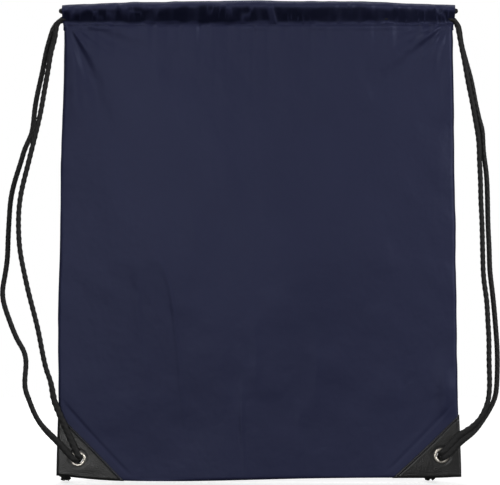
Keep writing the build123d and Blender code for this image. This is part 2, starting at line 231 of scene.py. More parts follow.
def depth(x, z, face):
    """Distance of the outer face from the mid-plane."""
    width = half_width(z)
    from_side, from_bottom = width - np.abs(x), z - bottom(x)
    from_corner = from_side + from_bottom
    # full in the middle, flat at the sides, bottom and corners, open at the mouth
    belly = 10.0 if face == 0 else 8.0
    across = (1 - np.clip(np.abs(x) / width, 0, 1) ** 2.6) ** 1.1
    body = 1.6 + belly * across * ease(0, 230, from_bottom) * ease(0, 80, from_corner - 60)
    d = mix(body, casing_y(x) + 0.5, ease(290, STITCH_Z, z))
    # the stiff patches hold the corners nearly smooth
    d = d + wrinkles(x, z, face) * (0.06 + 0.94 * ease(-8, 26, from_corner - 58))
    # the patch's own turned edge presses a soft line into the cloth beside it
    from_fold = (from_corner - 58) / 1.414
    press = np.where(x < 0, 0.8, 0.4) if face == 0 else 0.5
    d = d - (press * bump(from_fold - 6.5, 1.6)
             * ease(2, 10, from_bottom) * ease(2, 10, from_side))
    # 4 mm hem allowance folded inside shows as a faint step
    d = d + 0.22 * ease(390.4, 391.2, z) * (1 - ease(393.9, 394.8, z))
    # thread pulls the cloth in along the stitch line
    d = d - 0.45 * bump(z - STITCH_Z, 0.8)
    # edges roll in to meet the other cloth
    side_y = mix(SEAM_Y, 4.5, ease(374, 396, z))
    d = mix(np.minimum(side_y, d), d, rounded(from_side, 3.2))
    return mix(np.minimum(SEAM_Y, d), d, rounded(from_bottom, 2.8))


def casing_loop(x, face, phi):
    """Outer face of the casing tube, as depth, z and painted shade.

    The angle phi is 0 at the stitch line, runs up the outside and back down the inside.
    """
    outside = phi < math.pi
    from_stitch = min(phi, 2 * math.pi - phi)
    t = (1 - np.cos(phi)) / 2           # 0 at the stitch line, 1 at the rim
    amount = (1.0 + 0.5 * np.clip(noise[8](x / 40 + 5 * face, 2.2), -1, 1)
              + 0.35 * fade(HALF_RIM - np.abs(x), 25))
    # the outside leans out to a blunt rim; the inside stays flatter
    if outside:
        ruck = 1 + amount * (0.10 * noise[9](x / 4.6 + 7 * face, 3.1)
                             + 0.13 * noise[10](x / 9.0 + 3 * face, 6.2)
                             + 0.10 * noise[11](x / 24 + face, 1.4))
        rise = np.clip((t - 0.06) / 0.70, 0, 1)
        lean = mix(rise, ease(0, 1, rise), 0.55)
        blunt = np.sqrt(np.clip(1 - np.clip((t - 0.74) / 0.26, 0, 1) ** 2.2, 0, 1))
        offset = 5.6 * ruck * lean * blunt
    else:
        thick = mix(8.6, 6.9, ease(0.3, 1, np.abs(x) / HALF_RIM))
        offset = -0.44 * thick * np.abs(np.sin(phi)) * np.sin(phi / 2) ** 0.6
    top = rim_z(x)
    z = (top + STITCH_Z) / 2 - (top - STITCH_Z) / 2 * np.cos(phi)
    # soft rolls, and sharp gathers leaning to one side or the other
    skew = x + 5.0 * (t - 0.5) * noise[2](x / 34 + 4 * face, 7.7)
    rolls = (0.55 * noise[5](skew / 4.4 + 31 * face, t * 1.1)
             + 0.45 * noise[6](skew / 9.3 + 12 * face, t * 0.8))
    fine = noise[0](skew / 5.2 + 19 * face, t * 0.7 + 2)
    coarse = noise[1](skew / 10.5 + 3 * face, t * 0.9 + 5)
    fine = np.clip(1 - np.abs(fine) * 4.2, 0, 1) ** 1.3
    coarse = np.clip(1 - np.abs(coarse) * 5.0, 0, 1) ** 1.3
    some = np.clip(0.5 + 1.4 * noise[4](x / 31 + 6 * face, t * 1.5), 0, 1)
    gathers = (rolls * 0.8 + (0.95 * fine + 1.1 * coarse) * some) * amount
    if outside:
        gathers = gathers * ease(0, 0.12, t) * (1 - 0.75 * ease(0.80, 1.0, t))
    else:
        gathers = gathers * 0.35 * np.sin(phi / 2) ** 2
    # painted shade: colour darkened over the outside of the casing below its rim, less towards
    # the right; the gathers standing out of it are left lit
    edge = 0.05 * noise[3](x / 8.0 + 2 * face, 1.1) + 0.04 * noise[7](x / 27 + face, 4.2)
    band = ease(0.08, 0.19, t + edge) * (1 - ease(0.64, 0.80, t - edge * 1.4)) * outside
    clear = np.clip((fine + coarse) * some * 1.1 + 0.55 * np.clip(rolls, 0, 1), 0, 1)
    painted_shade = band * (1 - 0.28 * ease(0, 150, x)) * (1 - 0.85 * clear)
    # pinch at the stitch line continues the flat cloth below
    base = depth(x, np.full_like(x, STITCH_Z), face)
    centre = mix(base, casing_y(x) + 0.05, ease(0, 1.0, from_stitch))
    return centre + offset + gathers, z, painted_shade


def cloth_grid(face):
    """Outer face as rows up the cloth, over the casing and down inside, with its painted shade.
    """
    columns = int(round(2 * HALF_BOTTOM / CLOTH_STEP_X)) + 1
    across = np.linspace(-HALF_BOTTOM, HALF_BOTTOM, columns) / HALF_BOTTOM
    rows = []
    levels = np.concatenate([
        np.linspace(0, 6, 6, endpoint=False),
        np.linspace(6, 372, int(STITCH_Z / CLOTH_STEP_Z), endpoint=False),
        np.linspace(372, STITCH_Z, 28)])
    for level in levels:
        edge_z = bottom(across * half_width(level))
        z = edge_z + level / STITCH_Z * (STITCH_Z - edge_z)
        x = across * half_width(z)
        rows.append((x, depth(x, z, face), z, 0 * x))
    for phi in np.linspace(0.16, 2 * math.pi - 0.12, 46):
        widen = ease(0, 1.2, min(phi, 2 * math.pi - phi))
        x = across * mix(half_width(STITCH_Z), HALF_RIM, widen)
        rows.append((x, *casing_loop(x, face, phi)))
    # hem allowance hanging inside below the stitch line
    x = across * half_width(STITCH_Z)
    stitch_depth = depth(x, np.full_like(x, STITCH_Z), face)
    for drop in (0.8, 2.0, 3.4, 4.3):
        y = stitch_depth - 0.75 - 0.1 * drop + 0.05 * noise[2](x / 6, drop)
        rows.append((x, y, np.full_like(x, STITCH_Z - drop), 0 * x))
    grid = np.array([np.stack(row[:3], -1) for row in rows])
    painted_shade = np.array([row[3] for row in rows])
    # seams are never dead straight
    x, z = grid[..., 0], grid[..., 2]
    sign = np.sign(x)
    waver = 0.35 * noise[9](z / 16, 2.5 + sign) + 0.6 * noise[10](z / 75, 4.5 + sign)
    x = x + sign * waver * ease(0.9, 1, np.abs(x) / HALF_STITCH)
    bow = np.where(x < 0, -1.4 * ease(60, 130, z) * (1 - ease(290, 345, z)),
                   0.6 * ease(260, 300, z) * (1 - ease(380, 394, z)))
    grid[..., 0] = x + bow * ease(0.8, 1, np.abs(x) / HALF_STITCH) + corner_spread(x, z)
    grid[..., 1] *= OUTWARD[face]
    return grid, painted_shade


# ------------------------------------------------------------------ mesh building
def grid_normals(grid):
    along, up = np.gradient(grid, axis=1), np.gradient(grid, axis=0)
    up = np.where(np.linalg.norm(up, axis=-1, keepdims=True) < 1e-6, [0, 0, 1e-3], up)
    normals = np.cross(along, up)
    return normals / np.maximum(np.linalg.norm(normals, axis=-1, keepdims=True), 1e-9)


def make(name, verts, faces, material, normals=None, uv=None):
    """Smooth-shaded object from vertices in mm."""
    mesh = bpy.data.meshes.new(name)
    faces = [tuple(int(i) for i in face) for face in faces]
    mesh.from_pydata((np.asarray(verts, float) * MM).tolist(), [], faces)
    mesh.update()
    mesh.shade_smooth()
    if uv is not None:
        layer = mesh.uv_layers.new(name="UVMap")
        corners = np.zeros(len(mesh.loops), np.int32)
        mesh.loops.foreach_get("vertex_index", corners)
        layer.data.foreach_set("uv", np.asarray(uv, np.float32)[corners].reshape(-1))
    if normals is not None:
        mesh.normals_split_custom_set_from_vertices([tuple(n) for n in normals])
    mesh.materials.append(material)
    obj = bpy.data.objects.new(name, mesh)
    bpy.context.scene.collection.objects.link(obj)
    return obj


def face_outwards(obj):
    bm = bmesh.new()
    bm.from_mesh(obj.data)
    bmesh.ops.recalc_face_normals(bm, faces=bm.faces)
    bm.to_mesh(obj.data)
    bm.free()


def near_eyelet(points):
    return np.minimum(*(np.hypot(points[..., 0] - x, points[..., 2] - z)
                        for x, z in EYELETS.values())) < HOLE_R


def punch(quads, drop, back):
    """Quads kept, and the walls of the holes; the inner face is numbered back higher."""
    edges = {}
    for quad in quads[drop]:
        for i, j in zip(quad, np.roll(quad, -1)):
            edges[(int(i), int(j))] = True
    walls = [(i, j, j + back, i + back) for i, j in edges if (j, i) not in edges]
    return quads[~drop], np.array(walls, int).reshape(-1, 4)


def shell(outer, inner, toward, probe):
    """Vertices and faces of two grids joined round the rim, punched for the eyelets.

    toward holds an outward vector for each outer vertex. The quad a 1/probe share of the
    way through the outer grid tells whether the faces need turning over.
    """
    rows, columns = outer.shape[:2]
    count = rows * columns
    verts = np.concatenate([outer.reshape(-1, 3), inner.reshape(-1, 3)])
    i = np.arange(rows - 1)[:, None] * columns + np.arange(columns - 1)[None, :]
    quads = np.stack([i, i + 1, i + columns + 1, i + columns], -1).reshape(-1, 4)
    corner, after, _, before = quads[len(quads) // probe]
    facing = np.cross(verts[after] - verts[corner], verts[before] - verts[corner])
    flip = np.dot(facing, toward[corner]) < 0
    quads, walls = punch(quads, near_eyelet(verts[quads].mean(1)), count)
    ring = np.concatenate([
        np.arange(columns),
        np.arange(1, rows) * columns + columns - 1,
        (rows - 1) * columns + np.arange(columns - 2, -1, -1),
        np.arange(rows - 2, 0, -1) * columns])
    following = np.roll(ring, -1)
    rim = np.stack([ring, ring + count, following + count, following], -1)
    faces = np.concatenate([quads, quads[:, ::-1] + count, walls, rim])
    return verts, faces[:, ::-1] if flip else faces


def closed_sheet(name, grid, normals, thick, material):
    """Cloth with thickness, its inner face set back along the normals."""
    flat_normals = normals.reshape(-1, 3)
    verts, faces = shell(grid, grid - normals * thick, flat_normals, probe=2)
    # U follows x, V the length up the middle column; the inner face lies beside the outer
    up = lengths_along(grid[:, grid.shape[1] // 2])
    v = np.broadcast_to(up[:, None] * MM + 0.02, grid.shape[:2])
    uv = np.stack([grid[..., 0] * MM + 0.25, v], -1).reshape(-1, 2)
    return make(name, verts, faces, material, np.concatenate([flat_normals, -flat_normals]),
                np.concatenate([uv, uv + np.array([0.5, 0])]))


def rod_faces(rings, segments, start):
    """Faces of a rod of rings numbered from start, with both ends closed."""
    i = start + np.arange(rings - 1)[:, None] * segments
    j = np.arange(segments)[None, :]
    after = (j + 1) % segments
    walls = np.stack([i + j, i + after, i + segments + after, i + segments + j], -1)
    last = start + (rings - 1) * segments
    return walls.reshape(-1, 4).tolist() + [
        list(range(start + segments - 1, start - 1, -1)), list(range(last, last + segments))]


def stitches(name, starts, ends, radius, material, segments=7):
    """Short rounded rods between pairs of points, in one mesh."""
    profile = [(-0.02, 0.25), (0.10, 0.85), (0.5, 1.0), (0.90, 0.85), (1.02, 0.25)]
    # profile columns: share of the length, share of the radius
    turn = 2 * math.pi * np.arange(segments)[:, None] / segments
    verts, faces = [], []
    for number, (start, end) in enumerate(zip(starts, ends)):
        along = end - start
        axis = along / np.linalg.norm(along)
        across = np.cross(axis, (0, 1.0, 0))
        across /= np.linalg.norm(across)
        ring = (across * np.cos(turn) + np.cross(axis, across) * np.sin(turn)) * radius
        verts += [start + along * share + ring * size for share, size in profile]
        faces += rod_faces(len(profile), segments, number * len(profile) * segments)
    return make(name, np.concatenate(verts), faces, material)


def set_weights(obj):
    """Bake the object's transform into its mesh."""
    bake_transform(obj)


def gather(obj):
    """Read the object's points in mm and bake its transform into its mesh."""
    points = np.zeros(len(obj.data.vertices) * 3)
    obj.data.vertices.foreach_get("co", points)
    points = points.reshape(-1, 3) / MM
    set_weights(obj)


# ------------------------------------------------------------------ materials
class Nodes:
    """Adds nodes to a tree; an input given a socket is linked, any other value is set."""

    def __init__(self, tree):
        self.tree = tree

    def put(self, socket, value):
        if isinstance(value, bpy.types.NodeSocket):
            self.tree.links.new(value, socket)
        else:
            socket.default_value = value

    def set(self, node, **inputs):
        for name, value in inputs.items():
            self.put(node.inputs[name.replace("_", " ")], value)

    def add(self, kind, **inputs):
        node = self.tree.nodes.new("ShaderNode" + kind)
        self.set(node, **inputs)
        return node

    def noise(self, vector, scale, detail):
        texture = self.add("TexNoise", Scale=scale, Detail=detail, Vector=vector)
        return texture.outputs["Fac"]

    def ramp(self, factor, *stops):
        node = self.add("ValToRGB", Fac=factor)
        elements = node.color_ramp.elements
        while len(elements) > 1:
            elements.remove(elements[0])
        elements[0].position, elements[0].color = stops[0]
        for position, color in stops[1:]:
            elements.new(position).color = color
        return node.outputs[0]

    def remap(self, value, low, high):
        return self.add("MapRange", To_Min=low, To_Max=high, Value=value).outputs[0]

    def bump(self, height, strength, distance, **normal):
        return self.add("Bump", Strength=strength, Distance=distance, Height=height,
                        **normal).outputs[0]

    def math(self, operation, *values):
        node = self.add("Math")
        node.operation = operation
        for socket, value in zip(node.inputs, values):
            self.put(socket, value)
        return node.outputs[0]

    def mix(self, kind, factor, a, b):
        """Mix of kind RGBA or FLOAT."""
        node = self.add("Mix")
        node.data_type = kind
        first, output = {"FLOAT": (2, 0), "RGBA": (6, 2)}[kind]
        for index, value in ((0, factor), (first, a), (first + 1, b)):
            self.put(node.inputs[index], value)
        return node.outputs[output]


def principled(name, **values):
    """New material, its nodes and its shader."""
    material = bpy.data.materials.new(name)
    material.use_nodes = True
    nodes = Nodes(material.node_tree)
    shader = material.node_tree.nodes["Principled BSDF"]
    nodes.set(shader, **values)
    return material, nodes, shader


def cloth_material():
    material, nodes, shader = principled(
        "navy_polyester", Specular_Tint=(0.60, 0.66, 1.0, 1), Sheen_Weight=0.05,
        Sheen_Roughness=0.5, Sheen_Tint=(0.55, 0.6, 0.9, 1))
    uv = nodes.add("UVMap").outputs[0]
    navy = nodes.ramp(nodes.noise(uv, scale=9.0, detail=3.0),
                      (0.3, (0.0115, 0.0130, 0.0400, 1)), (0.7, (0.0150, 0.0168, 0.0475, 1)))
    # painted shade on the casing: darker colour and less shine where the shade mask is set
    attribute = nodes.add("Attribute")
    attribute.attribute_name = "painted_shade"
    painted_shade = attribute.outputs["Fac"]
    color = nodes.mix("RGBA", painted_shade, navy, (0.0022, 0.0028, 0.0120, 1))
    specular = nodes.remap(painted_shade, low=0.45, high=0.18)
    # plain weave, two thread directions
    threads_per_metre = 1150.0
    split = nodes.add("SeparateXYZ", Vector=uv)
    waves = [nodes.math("SINE", nodes.math("MULTIPLY", split.outputs[axis],
                                           2 * math.pi * threads_per_metre))
             for axis in (0, 1)]
    weave = nodes.math("MULTIPLY", *waves)
    slub = nodes.noise(uv, scale=260.0, detail=2.0)
    crinkle = nodes.noise(uv, scale=60.0, detail=3.0)
    normal = nodes.bump(weave, strength=0.25, distance=0.00006)
    normal = nodes.bump(slub, strength=0.25, distance=0.0002, Normal=normal)
    normal = nodes.bump(crinkle, strength=0.4, distance=0.0014, Normal=normal)
    nodes.set(shader, Base_Color=color, Specular_IOR_Level=specular, Normal=normal,
              Roughness=nodes.remap(slub, low=0.48, high=0.58))
    return material


def leather_material():
    material, nodes, shader = principled(
        "corner_leatherette", Roughness=0.38, Specular_IOR_Level=0.5)
    uv = nodes.add("UVMap").outputs[0]
    grain = nodes.add("TexVoronoi", Scale=950.0, Vector=uv).outputs["Distance"]
    mottle = nodes.noise(uv, scale=300.0, detail=4.0)
    normal = nodes.bump(grain, strength=0.55, distance=0.00018)
    normal = nodes.bump(mottle, strength=0.4, distance=0.0003, Normal=normal)
    color = nodes.ramp(mottle, (0.3, (0.006, 0.006, 0.006, 1)),
                       (0.7, (0.011, 0.011, 0.0107, 1)))
    nodes.set(shader, Normal=normal, Base_Color=color)
    return material


def metal_material():
    material, nodes, shader = principled(
        "eyelet_nickel", Base_Color=(0.66, 0.62, 0.55, 1), Metallic=1.0)
    place = nodes.add("TexCoord").outputs["Object"]
    mottle = nodes.noise(place, scale=400.0, detail=3.0)
    nodes.set(shader, Roughness=nodes.remap(mottle, low=0.28, high=0.40))
    return material


def cord_material():
    material, nodes, shader = principled(
        "braided_cord", Roughness=0.62, Specular_IOR_Level=0.35, Sheen_Weight=0.08,
        Sheen_Roughness=0.5)
    fibres = nodes.noise(nodes.add("UVMap").outputs[0], scale=2500.0, detail=2.0)
    color = nodes.ramp(fibres, (0.3, (0.0045, 0.0045, 0.0047, 1)),
                       (0.75, (0.010, 0.010, 0.0105, 1)))
    nodes.set(shader, Normal=nodes.bump(fibres, strength=0.5, distance=0.00012),
              Base_Color=color)
    return material


def thread_material(name, color):
    return principled(name, Base_Color=color, Roughness=0.5)[0]


CLOTH = cloth_material()
LEATHER = leather_material()
METAL = metal_material()
CORD = cord_material()
# navy thread, its colour darkened past the cloth's as painted shade of the needle holes and
# puckers along the hem
HEM_THREAD = thread_material("navy_thread_and_painted_shade", (0.005, 0.006, 0.014, 1))
PATCH_THREAD = thread_material("seam_thread", (0.045, 0.045, 0.075, 1))


# ------------------------------------------------------------------ curves and tubes
def lengths_along(curve):
    """Distance along a curve at each of its points."""
    steps = np.linalg.norm(np.diff(curve, axis=0), axis=1)
    return np.concatenate([[0], np.cumsum(steps)])


def resample(curve, old, new):
    return np.stack([np.interp(new, old, curve[:, axis]) for axis in range(3)], -1)


def spline(points, step):
    """Natural cubic spline through the points, and the distance along it at each sample."""
    p = np.array(points, float)
    h = np.linalg.norm(np.diff(p, axis=0), axis=1) ** 0.5
    knots = np.concatenate([[0], np.cumsum(h)])
    n = len(p)
    matrix, right = np.zeros((n, n)), np.zeros((n, 3))
    matrix[0, 0] = matrix[-1, -1] = 1
    for i in range(1, n - 1):
        matrix[i, i - 1:i + 2] = h[i - 1], 2 * (h[i - 1] + h[i]), h[i]
        right[i] = 6 * ((p[i + 1] - p[i]) / h[i] - (p[i] - p[i - 1]) / h[i - 1])
    bend = np.linalg.solve(matrix, right)
    t = np.linspace(0, knots[-1], 4000)
    k = np.clip(np.searchsorted(knots, t, "right") - 1, 0, n - 2)
    gap, to_next, since = h[k][:, None], (knots[k + 1] - t)[:, None], (t - knots[k])[:, None]
    curve = (bend[k] * to_next ** 3 / (6 * gap) + bend[k + 1] * since ** 3 / (6 * gap)
             + (p[k] / gap - bend[k] * gap / 6) * to_next
             + (p[k + 1] / gap - bend[k + 1] * gap / 6) * since)
    s = lengths_along(curve)
    even = np.linspace(0, s[-1], max(8, int(round(s[-1] / step))) + 1)
    return resample(curve, s, even), even


def cross_axes(curve):
    """Two axes square to the curve at each point, carried along without twisting."""
    tangents = np.gradient(curve, axis=0)
    tangents /= np.linalg.norm(tangents, axis=1, keepdims=True)
    axes = np.zeros_like(curve)
    axis = np.cross(tangents[0], [0.3, 1, 0.2])
    axis /= np.linalg.norm(axis)
    for i, tangent in enumerate(tangents):
        axis = axis - tangent * np.dot(axis, tangent)
        axis /= np.linalg.norm(axis)
        axes[i] = axis
    return axes, np.cross(tangents, axes)


def ring_angles(segments):
    return np.linspace(0, 2 * math.pi, segments, endpoint=False)


def tube(curve, s, radius=CORD_R, segments=CORD_SEGMENTS, braid=1.0, shift=0.0,
         flatten=0.0, squeeze=0.0):
    """Rings of a braided cord along a curve, and their distances s along it.

    braid scales the relief and shift moves it along. flatten presses the cord along Y and
    spreads it; squeeze makes it thinner.
    """
    bundles, lay = 4, 5.6               # bundles wound each way, and mm for one wave to pass
    axis, other = cross_axes(curve)
    angle = ring_angles(segments)[None, :]
    place = (s + shift)[:, None]
    one_way = bundles * angle + 2 * math.pi * place / lay
    other_way = bundles * angle - 2 * math.pi * place / lay
    weave = signed_power(np.cos(one_way) * 0.5 + np.cos(other_way) * 0.5, 0.8)
    fibres = np.where(np.sin(other_way) > 0, np.cos(4 * one_way), np.cos(4 * other_way))
    radii = radius * (1 + 0.09 * braid * weave + 0.008 * braid * fibres - 0.01)
    radii = radii * (1 + 0.02 * noise[1](place / 23, 0.5))
    offset = radii[..., None] * (np.cos(angle)[..., None] * axis[:, None]
                                 + np.sin(angle)[..., None] * other[:, None])
    offset = offset * (1 + np.reshape(flatten, (-1, 1, 1)) * np.array([1, -1, 1]))
    return curve[:, None] + offset * (1 - np.reshape(squeeze, (-1, 1, 1))), s


def cord_mesh(name, tubes):
    """One cord object of several tubes, each with closed ends."""
    verts, faces, uv, start = [], [], [], 0
    for number, (rings, s) in enumerate(tubes):
        count, segments = rings.shape[:2]
        faces += [face[::-1] for face in rod_faces(count, segments, start)]
        verts.append(rings.reshape(-1, 3))
        around = np.tile(ring_angles(segments), count) * CORD_R * MM
        uv.append(np.stack([around + 0.02 * number, np.repeat(s, segments) * MM], -1))
        start += count * segments
    obj = make(name, np.concatenate(verts), faces, CORD, uv=np.concatenate(uv))
    face_outwards(obj)
    return obj


def blended_cords(name, pieces, body, other, *replaced):
    """Cord object of the tubes of (tube, weight per ring) pieces, with the replaced parts
    hidden.
    """
    obj = cord_mesh(name, [piece for piece, _ in pieces])
    set_weights(obj)
    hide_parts(*replaced)


# ------------------------------------------------------------------ front and back cloth
def cloth_panel(face_name, face):
    """One face of the bag in two halves, left and right."""
    grid, painted_shade = cloth_grid(face)
    normals = grid_normals(grid)
    if np.mean(normals[20, :, 1]) * OUTWARD[face] < 0:
        normals = -normals
    middle = grid.shape[1] // 2
    for side, columns in (("left", slice(0, middle + 1)), ("right", slice(middle, None))):
        obj = closed_sheet(f"{face_name}_cloth_{side}", grid[:, columns],
                           normals[:, columns], CLOTH_THICK, CLOTH)
        # the casing's painted shade, stored on each vertex for the cloth material
        attribute = obj.data.attributes.new("painted_shade", "FLOAT", "POINT")
        both_faces = np.tile(painted_shade[:, columns].reshape(-1), 2)
        attribute.data.foreach_set("value", both_faces.astype(np.float32))
        gather(obj)
        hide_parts(f"{face_name}_panel", f"{face_name}_casing")


for face_name, face in FACES:
    cloth_panel(face_name, face)


# ------------------------------------------------------------------ seam allowances inside
def allowance(name, x, y, z, replaced):
    grid = np.stack(np.broadcast_arrays(x, y, z), -1)
    normals = np.zeros_like(grid)
    normals[..., 1] = -1
    obj = closed_sheet(name, grid, normals, ALLOWANCE_THICK, CLOTH)
    gather(obj)
    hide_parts(replaced)


def side_allowance(side, sign):
    z, inset = np.arange(12, 384, 4.0)[:, None], np.linspace(1.4, 8.0, 5)[None, :]
    y = 0.12 * noise[3](z / 9, inset) - 0.12
    allowance(f"{side}_seam_allowance", sign * (half_width(z) - inset), y, z,
              f"{side}_side_seam")


def bottom_allowance(side, sign):
    x = np.linspace(min(0, sign * 164), max(0, sign * 164), 56)[None, :]
    inset = np.array([1.4, 3.0, 5.0, 7.0])[:, None]
    y = 0.1 * noise[4](x / 9, inset) - 0.1
    allowance(f"{side}_bottom_allowance", x, y, bottom(x) + inset, "bottom_seam")


for side, sign in SIDES:
    side_allowance(side, sign)
for side, sign in SIDES:
    bottom_allowance(side, sign)


# ------------------------------------------------------------------ hem stitches
def hem_stitches(face_name, face, side, sign):
    run, pitch = 167, 2.9
    count = int(run / pitch)
    ends = []
    for share in (0.12, 0.88):          # where a stitch starts and ends in its pitch
        x = min(0, sign * run) + run * (np.arange(count) + share) / count
        z = STITCH_Z - 0.1 + 0.12 * noise[9](x / 6.0, 4.4)
        ends.append(np.stack([x, OUTWARD[face] * (depth(x, z, face) + 0.06), z], -1))
    obj = stitches(f"{face_name}_hem_stitches_{side}", *ends, 0.24, HEM_THREAD)
    gather(obj)


for face_name, face in FACES:
    for side, sign in SIDES:
        hem_stitches(face_name, face, side, sign)

# ------------------------------------------------------------------ corner patches
PATCH_UP = {"left": 53.8, "right": 54.3}        # leg up the side
PATCH_ALONG = {"left": 57.3, "right": 57.6}     # leg along the bottom
PATCH_BOW = {"left": 1.3, "right": -0.52}       # how far the fold bows inwards
PATCH_LAP = 0.35                                # patch past the cloth's edges
PATCH_CELLS = 74
PATCH_THICK = 0.85
PATCH_EDGE_Y = 0.12


def patch_width(side, v):
    return PATCH_ALONG[side] * (1 - v) + 0.8


def patch_point(side, sign, v, t):
    """x and z: v runs 0 to 1 up the side, t from 0 at the side edge to 1 at the fold."""
    bow = PATCH_BOW[side] * np.sin(math.pi * v) * t
    x = sign * (HALF_BOTTOM + PATCH_LAP - t * (patch_width(side, v) + bow))
    return x, bottom(x) - PATCH_LAP + v * PATCH_UP[side]


def patch(side, sign, face_name, face):
    v = np.arange(PATCH_CELLS + 1)[:, None] / PATCH_CELLS
    t = v.T
    x, z = patch_point(side, sign, v, t)
    # clip the sharp corner round
    width = half_width(z) + PATCH_LAP
    x = np.sign(x) * np.minimum(np.abs(x), width)
    d = 2.62 + 0.16 * noise[5](x / 16 + face, z / 16) + 0.10 * noise[6](x / 6, z / 6 + face)
    from_fold = (1 - t) * patch_width(side, v) * 0.7
    d = d + 0.28 * bump(from_fold, 1.6)             # folded edge is thicker
    d = d - 0.30 * bump(from_fold - 2.2, 0.55)      # stitches pull it down
    d = d - 0.9 * bump(from_fold, 0.35)
    eyelet_x, eyelet_z = EYELETS[side]
    radius = np.hypot(x - eyelet_x, z - eyelet_z)
    d = d - 0.30 * bump(radius - 7.6, 1.0) - 0.1 * (radius < 7)     # eyelet presses in
    d = mix(PATCH_EDGE_Y, d, rounded(width - np.abs(x), 2.6))
    d = mix(PATCH_EDGE_Y, d, rounded(z - (bottom(x) - PATCH_LAP), 2.2))
    outward = OUTWARD[face]
    outer = np.stack([x + corner_spread(x, z), outward * d, z], -1)
    # thinner towards the edges, so the inner face never crosses the mid-plane
    inner = outer.copy()
    inner[..., 1] = outward * np.maximum(np.abs(outer[..., 1]) - PATCH_THICK, 0.04)
    toward = np.full((d.size, 3), (0, outward, 0))
    verts, faces = shell(outer, inner, toward, probe=3)
    uv = np.stack([verts[:, 0] * MM + 0.2, verts[:, 2] * MM + 0.02], -1)
    uv[len(uv) // 2:, 0] += 0.4
    name = f"{side}_{face_name}_patch"
    obj = make(name, verts, faces, LEATHER, uv=uv)
    gather(obj)
    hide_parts(name)
    # seam thread 1.5 mm in from the fold
    ends = []
    for half_stitch in (-0.0135, 0.0135):
        v = np.linspace(0.03, 0.93, 26) + half_stitch
        x, z = patch_point(side, sign, v, 1 - 1.5 / patch_width(side, v))
        ends.append(np.stack([x, np.full_like(x, outward * 2.72), z], -1))
    obj = stitches(f"{name}_stitches", *ends, 0.26, PATCH_THREAD)
    gather(obj)


for side, sign in SIDES:
    for face_name, face in FACES:
        patch(side, sign, face_name, face)


# ------------------------------------------------------------------ eyelets
def lathe(name, profile, centre, material, segments=72):
    """Closed profile (radius, y) turned about an axis along Y through centre (x, z)."""
    verts, faces = [], []
    count = len(profile)
    for j in range(segments):
        angle = 2 * math.pi * j / segments
        verts += [(centre[0] + radius * math.cos(angle), y, centre[1] + radius * math.sin(angle))
                  for radius, y in profile]
        here, there = j * count, (j + 1) % segments * count
        for i in range(count):
            after = (i + 1) % count
            faces.append((here + i, here + after, there + after, there + i))
    obj = make(name, verts, faces, material)
    face_outwards(obj)
    return obj


def arc(radius, y, size, start, end, steps, squash=1.0):
    """Profile points on an arc about (radius, y), in degrees, squashed along Y."""
    angles = [math.radians(start + (end - start) * i / steps) for i in range(steps + 1)]
    return [(radius + size * math.cos(a), y + squash * size * math.sin(a)) for a in angles]


# a domed ring in front, rolled into the barrel, which curls over at the back
EYELET_PROFILE = [
    (6.85, -2.55), *arc(5.45, -2.65, 1.42, 0, -180, 18, squash=0.72),
    (4.0, -1.5), (4.0, 3.3), *arc(4.95, 3.3, 0.95, 180, 20, 10),
    (5.75, 3.35), (4.35, 3.2), (4.35, -2.3), (6.3, -2.35)]
WASHER_PROFILE = [(4.5, 2.62), (6.5, 2.62), *arc(6.5, 2.92, 0.32, -80, 80, 8), (4.5, 3.22)]

for side, centre in EYELETS.items():
    for part, profile in (("eyelet", EYELET_PROFILE), ("washer", WASHER_PROFILE)):
        obj = lathe(f"{side}_{part}", profile, centre, METAL)
        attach(obj, "bag")
        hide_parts(f"{side}_{part}")

# ------------------------------------------------------------------ shoulder cords
LEAD_Y = -4.8           # cord lying on the front of a patch
BORE_START_Y = -5.55    # where a cord starts to bend into its eyelet

# hanging strands from the casing down: x, z
LEFT_OUTER = [
    (-180.4, 385.3), (-183.8, 373.2), (-187.3, 356.0), (-191.2, 338.7), (-194.2, 321.5),
    (-196.3, 304.2), (-199.4, 295.6), (-203.2, 286.9), (-205.8, 278.3), (-211.2, 261.1),
    (-215.0, 243.8), (-216.4, 226.5), (-217.3, 209.3), (-218.1, 192.0), (-220.7, 174.8),
    (-222.0, 166.1), (-221.6, 157.5), (-219.4, 148.9), (-216.3, 140.2), (-209.1, 123.0),
    (-204.1, 114.3), (-201.6, 105.7), (-201.6, 97.1), (-202.2, 88.5), (-201.6, 79.8),
    (-198.6, 71.2), (-195.2, 62.6), (-190.8, 53.9), (-184.3, 45.3)]
LEFT_INNER = [
    (-176.1, 385.3), (-179.1, 373.2), (-182.1, 356.0), (-185.1, 338.7), (-188.1, 321.5),
    (-192.0, 304.2), (-196.3, 286.9), (-200.6, 269.7), (-204.8, 252.4), (-207.2, 235.2),
    (-207.5, 217.9), (-206.3, 200.6), (-203.2, 183.4), (-199.4, 166.1), (-195.0, 148.9),
    (-190.7, 131.6), (-187.3, 114.3), (-183.4, 97.1), (-180.4, 88.5), (-178.4, 79.8)]
RIGHT_INNER = [
    (174.8, 381.9), (178.2, 364.6), (181.2, 347.4), (184.7, 330.1), (187.8, 312.8),
    (190.5, 295.6), (191.3, 278.3), (192.1, 261.1), (192.5, 243.8), (193.3, 226.5),
    (193.8, 209.3), (194.2, 192.0), (195.1, 174.8), (197.4, 157.5), (198.5, 140.2),
    (199.4, 123.0), (199.5, 105.7), (199.9, 88.5), (199.7, 79.8), (198.5, 70.5)]
RIGHT_OUTER = [
    (175.6, 381.9), (179.9, 364.6), (184.6, 347.4), (188.0, 330.1), (191.9, 312.8),
    (194.1, 304.2), (195.2, 286.9), (197.4, 269.7), (198.5, 252.4), (198.9, 235.2),
    (199.4, 217.9), (200.2, 200.6), (200.8, 183.4), (202.7, 166.1), (204.5, 148.9),
    (205.9, 131.6), (207.0, 114.3), (207.1, 97.1), (206.2, 79.8), (203.7, 69.5)]


